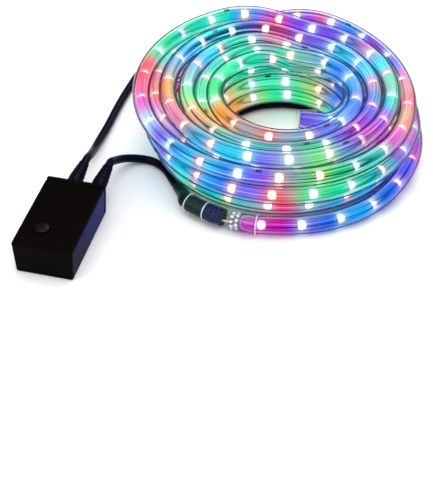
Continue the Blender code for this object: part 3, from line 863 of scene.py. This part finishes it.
@dataclass(frozen=True)
class ClearFinish:
    """Clear moulded plastic, seen through face on and pale at its edges."""

    name: str = "clear_sleeve"
    tint: Colour = (0.22, 0.28, 0.42)
    pale: Colour = (0.70, 0.76, 0.86)
    patch_scale: float = 240.0
    blend: float = 0.35
    alpha: Stops = ((0.35, 0.01), (0.95, 0.50))
    roughness: float = 0.08
    specular: float = 0.3

    def build(self) -> bpy.types.Material:
        """Makes the material.

        Returns:
            The material.
        """
        made, wires, shader = new_material(self.name)
        where = wires.add("ShaderNodeTexCoord").outputs
        grain = wires.group(Effects.grain(), {"Place": where["Object"], "Patch Scale": self.patch_scale})
        wires.feed(shader, {
            "Base Color": wires.mix("MIX", grain["Patch"], self.tint, self.pale),
            "Alpha": wires.ramp(wires.facing(self.blend), self.alpha),
            "Roughness": self.roughness, "Specular IOR Level": self.specular,
        })
        return made


def make_object(name: str, mesh: bpy.types.Mesh, look: bpy.types.Material) -> bpy.types.Object:
    """Links a mesh into the scene as a smooth-shaded piece.

    Args:
        name: the piece's name.
        mesh: its shape.
        look: its material.

    Returns:
        The piece.
    """
    mesh.shade_smooth()
    mesh.materials.append(look)
    made = bpy.data.objects.new(name, mesh)
    bpy.context.scene.collection.objects.link(made)
    return made


@dataclass
class TubeBuilder:
    """Skins rings of points along a path into tubes, with a lay map."""

    sides: int

    def rings(self, path: Sequence[Vector], radii: Sequence[float]) -> np.ndarray:
        """The rings of points round a path, as a rings x sides x 3 array.

        Args:
            path: the rings' centres.
            radii: their radii.

        Returns:
            A rings x sides x 3 array.
        """
        made = []
        for point, heading, radius in zip(path, headings(path), radii):
            side = heading.cross(UP).normalized()
            top = side.cross(heading).normalized()
            for index in range(self.sides):
                angle = 2 * math.pi * (index + 0.5) / self.sides
                made.append(point + (side * math.cos(angle) + top * math.sin(angle)) * radius)
        return np.array(made).reshape(len(path), self.sides, 3)

    def barrel(
        self, centre: Vector, heading: Vector, length: float, radius: float, profile: Stops
    ) -> np.ndarray:
        """The rings of one short barrel.

        Args:
            centre: its middle.
            heading: the way it points.
            length: what the profile's first numbers are shares of.
            radius: what the profile's second numbers are shares of.
            profile: its outline from end to end.

        Returns:
            A rings x sides x 3 array.
        """
        points = [centre + heading * length * share for share, _ in profile]
        return self.rings(points, [radius * share for _, share in profile])

    def mesh(
        self, name: str, groups: Sequence[np.ndarray], lays: Sequence[Sequence[float]]
    ) -> bpy.types.Mesh:
        """Skins groups of rings, each group one closed tube.

        Args:
            name: the mesh's name.
            groups: one rings x sides x 3 array for each tube.
            lays: for each tube, the distance along the rope of each ring, in lamp pitches.

        Returns:
            The mesh, with a UV map named lay.
        """
        points = [group.reshape(-1, 3) for group in groups]
        faces: list[tuple[int, ...]] = []
        uvs: list[tuple[float, float]] = []
        base = 0
        for group, lay in zip(groups, lays):
            count = len(group)
            for ring in range(count - 1):
                for side in range(self.sides):
                    after = (side + 1) % self.sides
                    low, high = base + ring * self.sides, base + (ring + 1) * self.sides
                    faces.append((low + side, low + after, high + after, high + side))
                    near, far = side / self.sides, (side + 1) / self.sides
                    uvs += [(lay[ring], near), (lay[ring], far), (lay[ring + 1], far), (lay[ring + 1], near)]
            last = base + (count - 1) * self.sides
            faces.append(tuple(base + side for side in reversed(range(self.sides))))
            faces.append(tuple(last + side for side in range(self.sides)))
            uvs += [(lay[0], side / self.sides) for side in range(self.sides)]
            uvs += [(lay[-1], side / self.sides) for side in range(self.sides)]
            base += count * self.sides
        mesh = bpy.data.meshes.new(name)
        mesh.from_pydata(np.concatenate(points).tolist(), [], faces)
        layer = mesh.uv_layers.new(name="lay")
        layer.data.foreach_set("uv", np.array(uvs, dtype=np.float32).ravel())
        return mesh


def paint(mesh: bpy.types.Mesh, name: str, colours: np.ndarray) -> None:
    """Writes one colour for each vertex as a named attribute.

    Args:
        mesh: the mesh to colour.
        name: the attribute's name.
        colours: one row for each vertex.
    """
    attribute = mesh.color_attributes.new(name=name, type="FLOAT_COLOR", domain="POINT")
    full = np.ones((len(mesh.vertices), 4), dtype=np.float32)
    full[:, :3] = colours
    attribute.data.foreach_set("color", full.ravel())


@dataclass
class LitRope:
    """The rope itself: its jacket, lit core, lamps and resistors."""

    run: RopeRun = field(default_factory=RopeRun)
    field_light: Light = field(default_factory=lambda: Light(FIELD, 0.0080, depth=1.28))
    lamp_light: Light = field(default_factory=lambda: Light(LAMPS, 0.0060))
    jacket_sides: int = 14
    core_sides: int = 12
    core_share: float = 0.72
    lamp_share: float = 0.86
    lamp_length: float = 0.0100
    lamp_profile: Stops = (
        (-0.5, 0.40), (-0.42, 0.64), (-0.25, 0.90), (0.0, 1.0), (0.25, 0.90), (0.42, 0.64), (0.5, 0.40),
    )
    cap_overlap: float = 0.15
    lamps_per_resistor: int = 9
    resistor_length: float = 0.0044
    resistor_radius: float = 0.0011
    resistor_lift: float = 0.0049
    resistor_sides: int = 8
    resistor_finish: MouldedFinish = MouldedFinish(
        "resistor_dark", (0.003, 0.003, 0.016), (0.008, 0.006, 0.030), 0.5, specular=0.1
    )
    resistor_profile: Stops = ((-0.5, 0.55), (-0.40, 1.0), (0.40, 1.0), (0.5, 0.55))

    def build(self) -> None:
        path = [point + COIL_AXIS for point in self.run.path()]
        jacket = self.tube("rope_jacket", path, ROPE_RADIUS, self.jacket_sides, JacketFinish().build())
        inside = [*path[:-1], path[-1].lerp(path[-2], self.cap_overlap)]
        core_radius = ROPE_RADIUS * self.core_share
        core = self.tube("rope_core", inside, core_radius, self.core_sides, CoreFinish().build())
        lamps = self.lamps(path)
        for piece in (jacket, core, lamps, self.resistors(path)):
            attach(piece, "light")
            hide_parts("rope_coil")

    def colours(self, light: Light, places: np.ndarray) -> np.ndarray:
        """A light's colour at places in the frame."""
        return light.at(places - np.array(COIL_AXIS))

    def lamp_tones(self, path: Path) -> np.ndarray:
        """For each ring, the colour of the lamp in its own pitch.

        Args:
            path: the rope's ring centres.

        Returns:
            One colour for each ring.
        """
        tones = self.colours(self.lamp_light, np.array(path))
        last = len(path) - 1
        half = RINGS_PER_PITCH // 2
        own = [min(ring // RINGS_PER_PITCH * RINGS_PER_PITCH + half, last) for ring in range(last + 1)]
        return tones[own]

    def tube(
        self, name: str, path: Path, radius: float, sides: int, look: bpy.types.Material
    ) -> bpy.types.Object:
        """One tube along the whole rope, coloured by the light in it.

        Args:
            name: the piece's name.
            path: its ring centres.
            radius: its radius.
            sides: how many sides it has.
            look: its material.

        Returns:
            The piece.
        """
        builder = TubeBuilder(sides)
        rings = builder.rings(path, [radius] * len(path))
        lay = [index / RINGS_PER_PITCH for index in range(len(path))]
        mesh = builder.mesh(name, [rings], [lay])
        paint(mesh, "glow", self.colours(self.field_light, rings.reshape(-1, 3)))
        paint(mesh, "lamp_glow", np.repeat(self.lamp_tones(path), sides, axis=0))
        return make_object(name, mesh, look)

    def lamps(self, path: Path) -> bpy.types.Object:
        """Short rounded barrels of light, one in each pitch.

        Args:
            path: the rope's ring centres.

        Returns:
            The piece.
        """
        builder = TubeBuilder(self.core_sides)
        ways = headings(path)
        tones = self.lamp_tones(path)
        rings = range(RINGS_PER_PITCH // 2, len(path) - 2, RINGS_PER_PITCH)
        size = (self.lamp_length, ROPE_RADIUS * self.lamp_share, self.lamp_profile)
        groups = [builder.barrel(path[ring], ways[ring], *size) for ring in rings]
        mesh = builder.mesh("rope_lamps", groups, self.lays(rings, self.lamp_profile))
        corners = len(self.lamp_profile) * self.core_sides
        paint(mesh, "lamp_glow", np.repeat(tones[list(rings)], corners, axis=0))
        return make_object("rope_lamps", mesh, LampFinish().build())

    def resistors(self, path: Path) -> bpy.types.Object:
        """Small dark barrels on top of the core, half way between two lamps.

        Args:
            path: the rope's ring centres.

        Returns:
            The piece.
        """
        builder = TubeBuilder(self.resistor_sides)
        ways = headings(path)
        step = self.lamps_per_resistor * RINGS_PER_PITCH
        rings = range(step, len(path) - 2, step)
        size = (self.resistor_length, self.resistor_radius, self.resistor_profile)
        groups = []
        for ring in rings:
            up = ways[ring].cross(UP).normalized().cross(ways[ring]).normalized()
            groups.append(builder.barrel(path[ring] + up * self.resistor_lift, ways[ring], *size))
        mesh = builder.mesh("rope_resistors", groups, self.lays(rings, self.resistor_profile))
        return make_object("rope_resistors", mesh, self.resistor_finish.build())

    def lays(self, rings: Sequence[int], profile: Stops) -> list[list[float]]:
        """For barrels at these rings of the path, their distance along the rope in lamp pitches."""
        return [[ring / RINGS_PER_PITCH] * len(profile) for ring in rings]


@dataclass
class Leads:
    """The mains lead and the rope's lead, on the routes that the solids follow."""

    finish: MouldedFinish = MouldedFinish(
        "lead_rubber", (0.001, 0.001, 0.005), (0.002, 0.002, 0.016), 0.30, specular=0.06, bump=0.08
    )
    sides: int = 6
    spacing: float = 0.006
    tight_share: float = 0.7
    mains_out: tuple[Place, ...] = (
        (-0.1388, -0.0270, 0.0130), (-0.1375, -0.0150, 0.0082), (-0.1348, 0.0010, 0.0045),
        (-0.1296, 0.0204, 0.0034), (-0.1221, 0.0498, 0.0031), (-0.1147, 0.0737, 0.0031),
        (-0.1088, 0.0900, 0.0031), (-0.0985, 0.1090, 0.0031), (-0.0835, 0.1275, 0.0031),
        (-0.0630, 0.1430, 0.0031), (-0.0360, 0.1545, 0.0031), (-0.0060, 0.1590, 0.0031),
        (0.0240, 0.1570, 0.0031), (0.0530, 0.1490, 0.0031), (0.0760, 0.1320, 0.0031),
        (0.0890, 0.1090, 0.0031), (0.0950, 0.0840, 0.0031), (0.0962, 0.0600, 0.0031),
        (0.0948, 0.0370, 0.0031), (0.0900, 0.0150, 0.0031),
    )
    under_from: float = -12.0
    under_to: float = -229.0
    under_outer: float = 0.0865
    under_inner: float = 0.0490
    under_points: int = 14
    floor_gap: float = 0.0001
    mains_home: tuple[Place, ...] = (
        (-0.0170, 0.0460, 0.0031), (0.0020, 0.0491, 0.0031), (0.0200, 0.0460, 0.0031),
        (0.0347, 0.0405, 0.0031), (0.0455, 0.0365, 0.0031), (0.0575, 0.0370, 0.0031),
        (0.0690, 0.0425, 0.0031), (0.0780, 0.0525, 0.0031), (0.0825, 0.0660, 0.0031),
        (0.0805, 0.0820, 0.0031), (0.0725, 0.0970, 0.0031), (0.0610, 0.1095, 0.0034),
        (0.0480, 0.1185, 0.0046), (0.0360, 0.1230, 0.0062),
    )
    plug_entry: tuple[Place, Place] = (
        (0.0253, 0.1240, 0.0068), (0.0193, 0.1240, 0.0068),
    )
    rope_out: tuple[Place, ...] = (
        (-0.1208, -0.0335, 0.0128), (-0.1148, -0.0245, 0.0075), (-0.1055, -0.0198, 0.0038),
        (-0.0945, -0.0220, 0.0031), (-0.0860, -0.0300, 0.0031), (-0.0808, -0.0400, 0.0031),
    )
    plug_tail: tuple[Place, Place] = (
        (-0.0758, -0.0520, 0.0040), (-0.0712, -0.0625, 0.0056),
    )
    box_place: tuple[float, float] = (-0.1534, -0.1056)
    box_turn: float = math.radians(-14.3)
    box_half_length: float = 0.0365
    end_step: float = 0.003
    relief_length: float = 0.0242
    relief_height: float = 0.017
    relief_aside: tuple[float, float] = (-0.0046, 0.0131)
    fit: float = 0.0003
    straight: float = 0.006

    def relief_tip(self, aside: float) -> Path:
        """The straight first stretch of a lead out of its strain relief.

        Args:
            aside: how far the relief is from the box's middle.

        Returns:
            The stretch's two ends.
        """
        heading = Vector((-math.sin(self.box_turn), math.cos(self.box_turn), 0.0))
        across = Vector((math.cos(self.box_turn), math.sin(self.box_turn), 0.0))
        reach = self.box_half_length + self.end_step + self.relief_length + self.fit
        tip = Vector((*self.box_place, self.relief_height)) + across * aside + heading * reach
        return [tip, tip + heading * self.straight]

    def under_coil(self) -> Path:
        """The turn of mains lead under the coil, working inwards.

        Returns:
            The points.
        """
        route = []
        for share in np.linspace(0.0, 1.0, self.under_points).tolist():
            azimuth = math.radians(self.under_from + (self.under_to - self.under_from) * share)
            radius = self.under_outer + (self.under_inner - self.under_outer) * share
            route.append(polar(azimuth, radius, LEAD_DIAMETER / 2 + self.floor_gap))
        return route

    def joined(self, first: Path, middle: Sequence[Vector | Place], last: Path, spacing: float) -> Path:
        """One smooth line with straight ends, moved into the frame's place."""
        path = smooth_path([*first, *middle, *last], spacing)
        return [point + COIL_AXIS for point in [*first, *path[2:-2], *last]]

    def mains_path(self) -> Path:
        """The mains lead's points, from its relief to the plug.

        Returns:
            The points.
        """
        first = self.relief_tip(self.relief_aside[0])
        last = [Vector(place) for place in self.plug_entry]
        middle = [*self.mains_out, *self.under_coil(), *self.mains_home]
        return self.joined(first, middle, last, self.spacing)

    def rope_path(self) -> Path:
        """The rope lead's points, from its relief to the connector's tail.

        Returns:
            The points.
        """
        first = self.relief_tip(self.relief_aside[1])
        tail, ahead = (Vector(place) for place in self.plug_tail)
        heading = (ahead - tail).normalized()
        entry = tail - heading * self.fit
        last = [entry - heading * self.straight, entry]
        return self.joined(first, self.rope_out, last, self.spacing * self.tight_share)

    def piece(self, name: str, path: Path, look: bpy.types.Material) -> bpy.types.Object:
        """Makes one lead as a round curve through its points.

        Args:
            name: the piece's name.
            path: its points.
            look: its material.

        Returns:
            The piece.
        """
        curve = bpy.data.curves.new(name, "CURVE")
        curve.dimensions = "3D"
        curve.bevel_depth = LEAD_DIAMETER / 2
        curve.bevel_resolution = self.sides
        curve.use_fill_caps = True
        spline = curve.splines.new("POLY")
        spline.points.add(len(path) - 1)
        for point, place in zip(spline.points, path):
            point.co = (*place, 1.0)
        spline.use_smooth = True
        curve.materials.append(look)
        made = bpy.data.objects.new(name, curve)
        bpy.context.scene.collection.objects.link(made)
        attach(made, "light")
        LOG.info("%s: %.3f m", name, path_length(path))
        return made

    def build(self) -> None:
        look = self.finish.build()
        path = self.mains_path()
        mains = self.piece("mains_flex", path, look)
        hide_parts("mains_lead")
        path = self.rope_path()
        rope = self.piece("rope_flex", path, look)
        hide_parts("rope_lead")


@dataclass
class ConnectorTrim:
    """What shows inside the clear sleeve: its seal, the block's ribs, the socket's teeth, and two white rims
    that paint the highlight on each end of the sleeve.
    """

    start: float = math.radians(-132.0)
    hoop_steps: int = 24
    sides: int = 8
    seal_at: float = 0.0151
    ribs_from: float = 0.0172
    rib_spacing: float = 0.0020
    rib_count: int = 6
    teeth_rows: tuple[float, float] = (0.0362, 0.0398)
    teeth_round: int = 9
    tooth_radius: float = 0.0013
    tooth_profile: Stops = ((-1.0, 0.25), (-0.7, 0.75), (0.0, 1.0), (0.7, 0.75), (1.0, 0.25))
    row_twist: float = 90.0
    sleeve_length: float = 0.0536
    inset: float = 0.0004
    seal_thickness: float = 0.0006
    rib_thickness: float = 0.0005
    rim_out: float = 0.0007
    rim_thickness: float = 0.0004
    rim_from_end: float = 0.0006
    # White for the real seal, and for the rims, where it is a painted highlight.
    white: MouldedFinish = MouldedFinish(
        "seal_and_rim_highlight_white", (0.80, 0.84, 0.86), (0.62, 0.70, 0.74), 0.35, specular=0.3
    )
    navy: MouldedFinish = MouldedFinish(
        "rib_navy", (0.004, 0.006, 0.050), (0.010, 0.014, 0.110), 0.25, specular=0.4
    )
    glass: MouldedFinish = MouldedFinish(
        "tooth_clear", (0.60, 0.72, 0.80), (0.85, 0.92, 0.96), 0.12, specular=0.6
    )

    def place(self, distance: float) -> tuple[Vector, Vector, Vector, Vector]:
        """The centre, heading, side and top of the connector this far from its open end.

        Args:
            distance: how far along the connector.

        Returns:
            The centre and three directions.
        """
        azimuth = self.start + distance / CONNECTOR_RADIUS
        heading = Vector((-math.sin(azimuth), math.cos(azimuth), 0.0))
        centre = polar(azimuth, CONNECTOR_RADIUS, CONNECTOR_HEIGHT) + COIL_AXIS
        return centre, heading, heading.cross(UP), UP.copy()

    def hoop(self, distance: float, big: float, small: float) -> np.ndarray:
        """The rings of one hoop round the connector.

        Args:
            distance: how far along the connector it lies.
            big: the hoop's own radius.
            small: the radius of its section.

        Returns:
            A rings x sides x 3 array whose last ring meets the first.
        """
        centre, heading, side, top = self.place(distance)
        points = []
        for step in range(self.hoop_steps + 1):
            turn = 2 * math.pi * step / self.hoop_steps
            out = side * math.cos(turn) + top * math.sin(turn)
            for index in range(self.sides):
                angle = 2 * math.pi * index / self.sides
                reach = out * (big + small * math.cos(angle))
                points.append(centre + reach + heading * small * math.sin(angle))
        return np.array(points).reshape(self.hoop_steps + 1, self.sides, 3)

    def tooth(self, distance: float, turn: float) -> np.ndarray:
        """The rings of one rounded stud of the socket.

        Args:
            distance: how far along the connector.
            turn: where round it, in radians.

        Returns:
            A rings x sides x 3 array.
        """
        centre, heading, side, top = self.place(distance)
        middle = centre + (side * math.cos(turn) + top * math.sin(turn)) * (ROPE_RADIUS - self.tooth_radius)
        size = self.tooth_radius
        return TubeBuilder(self.sides).barrel(middle, heading, size, size, self.tooth_profile)

    def piece(self, name: str, groups: list[np.ndarray], look: bpy.types.Material, slot: str) -> None:
        """Makes one trim piece from its groups of rings.

        Args:
            name: the piece's name.
            groups: its parts.
            look: its material.
            slot: not used.
        """
        mesh = TubeBuilder(self.sides).mesh(name, groups, [[0.0] * len(group) for group in groups])
        made = make_object(name, mesh, look)
        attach(made, "light")
        LOG.info("trim %s: %d parts", name, len(groups))

    def build(self) -> None:
        """Makes every trim piece."""
        white = self.white.build()
        within = ROPE_RADIUS - self.inset
        seal = [self.hoop(self.seal_at, within, self.seal_thickness)]
        self.piece("sleeve_seal", seal, white, "clear_plastic")
        ribs = [self.ribs_from + self.rib_spacing * index for index in range(self.rib_count)]
        hoops = [self.hoop(rib, within, self.rib_thickness) for rib in ribs]
        self.piece("block_ribs", hoops, self.navy.build(), "black_case")
        turns = [2 * math.pi * index / self.teeth_round for index in range(self.teeth_round)]
        teeth = [self.tooth(row, turn + row * self.row_twist) for row in self.teeth_rows for turn in turns]
        self.piece("socket_teeth", teeth, self.glass.build(), "clear_plastic")
        # Painted highlight: white hoops at both ends of the sleeve.
        ends = (self.rim_from_end, self.sleeve_length - self.rim_from_end)
        rim_highlights = [self.hoop(end, ROPE_RADIUS + self.rim_out, self.rim_thickness) for end in ends]
        self.piece("sleeve_rim_highlights", rim_highlights, white, "clear_plastic")


@dataclass
class Dressing:
    """Gives the carried-over solids their finishes."""

    # The case is near black; its navy side facing the coil is a painted reflection of the coil's glow.
    case: MouldedFinish = MouldedFinish(
        "case_plastic_painted_reflection", (0.0018, 0.0009, 0.0009), (0.0034, 0.0020, 0.0020), 0.46,
        specular=0.02, painted_reflection=(0.012, 0.014, 0.17)
    )
    button: MouldedFinish = MouldedFinish(
        "button_plastic", (0.004, 0.002, 0.002), (0.008, 0.005, 0.005), 0.36, specular=0.12
    )
    rubber: MouldedFinish = MouldedFinish(
        "relief_rubber", (0.001, 0.001, 0.004), (0.002, 0.002, 0.013), 0.40, specular=0.06
    )
    # The lead plug is black rubber; its green is painted green glints of reflected glow, in random patches.
    plug_painted_glint: MouldedFinish = MouldedFinish(
        "plug_rubber_painted_glint", (0.0005, 0.003, 0.003), (0.001, 0.034, 0.024), 0.30, specular=0.10
    )
    block: MouldedFinish = MouldedFinish(
        "block_plastic", (0.001, 0.001, 0.016), (0.003, 0.003, 0.060), 0.30, specular=0.10
    )
    metal: MouldedFinish = MouldedFinish(
        "bright_metal", (0.80, 0.70, 0.45), (0.70, 0.62, 0.42), 0.25, metallic=1.0, grain_scale=900.0
    )
    clear: ClearFinish = ClearFinish()

    def build(self) -> None:
        """Assigns every finish."""
        plan = {
            "controller_housing": self.case, "controller_end": self.case, "pin_block": self.block,
            "mode_button": self.button, "mains_relief": self.rubber, "rope_relief": self.rubber,
            "mains_plug": self.rubber, "lead_plug": self.plug_painted_glint,
            "contact_pin_front": self.metal, "contact_pin_back": self.metal,
            "plug_pin_near": self.metal, "plug_pin_far": self.metal,
            "connector_sleeve": self.clear, "rope_socket": self.clear, "rope_end_cap": self.clear,
        }
        made: dict[str, bpy.types.Material] = {}
        for node, finish in plan.items():
            if finish.name not in made:
                made[finish.name] = finish.build()
            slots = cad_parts[node].material_slots
            for slot in slots:
                slot.material = made[finish.name]
            LOG.info("dressed %s in %s", node, finish.name)


@dataclass
class Studio:
    """The camera at the photograph's angle, a pale floor and soft lights."""

    camera_place: Place = (-0.008033, -0.772898, 0.614320)
    camera_tilt: float = 48.0
    camera_lens: float = 98.62
    floor_size: float = 6.0
    floor_drop: float = 0.0002
    floor_colour: Colour = (0.90, 0.90, 0.90)
    floor_roughness: float = 0.6
    world_strength: float = 0.75

    def camera(self) -> None:
        """Makes the scene's camera."""
        data = bpy.data.cameras.new("camera")
        data.lens = self.camera_lens
        data.sensor_width = 36.0
        made = bpy.data.objects.new("camera", data)
        made.location = self.camera_place
        made.rotation_euler = (math.radians(self.camera_tilt), 0.0, 0.0)
        bpy.context.scene.collection.objects.link(made)
        bpy.context.scene.camera = made

    def floor(self) -> None:
        """Makes a plain pale floor."""
        half = self.floor_size / 2
        mesh = bpy.data.meshes.new("floor")
        square = ((-half, -half), (half, -half), (half, half), (-half, half))
        corners = [(x, y, -self.floor_drop) for x, y in square]
        mesh.from_pydata(corners, [], [(0, 1, 2, 3)])
        made, wires, shader = new_material("floor_white")
        wires.feed(shader, {"Base Color": self.floor_colour, "Roughness": self.floor_roughness})
        make_object("floor", mesh, made)

    def lights(self) -> None:
        """Makes a broad top light, two side lights and a white world."""
        plan = (
            ("top_light", (0.1, 0.1, 1.6), 1.8, 20.0),
            ("left_light", (-1.2, -0.7, 1.1), 0.9, 8.0),
            ("back_light", (0.6, 1.3, 1.0), 0.9, 8.0),
        )
        for name, place, size, power in plan:
            data = bpy.data.lights.new(name, "AREA")
            data.size = size
            data.energy = power
            made = bpy.data.objects.new(name, data)
            made.location = place
            made.rotation_euler = (-Vector(place)).to_track_quat("-Z", "Y").to_euler()
            bpy.context.scene.collection.objects.link(made)
        world = bpy.data.worlds.new("world")
        world.use_nodes = True
        background = world.node_tree.nodes["Background"]
        background.inputs["Color"].default_value = (1.0, 1.0, 1.0, 1.0)
        background.inputs["Strength"].default_value = self.world_strength
        bpy.context.scene.world = world
        world.cycles_visibility.glossy = False


def main() -> None:
    """Builds the whole scene in order."""
    logging.basicConfig(level=logging.INFO, format="%(message)s")
    bpy.context.scene.view_settings.view_transform = "Standard"
    studio = Studio()
    studio.camera()
    Leads().build()
    LitRope().build()
    ConnectorTrim().build()
    Dressing().build()
    studio.floor()
    studio.lights()


if __name__ == "__main__":
    main()
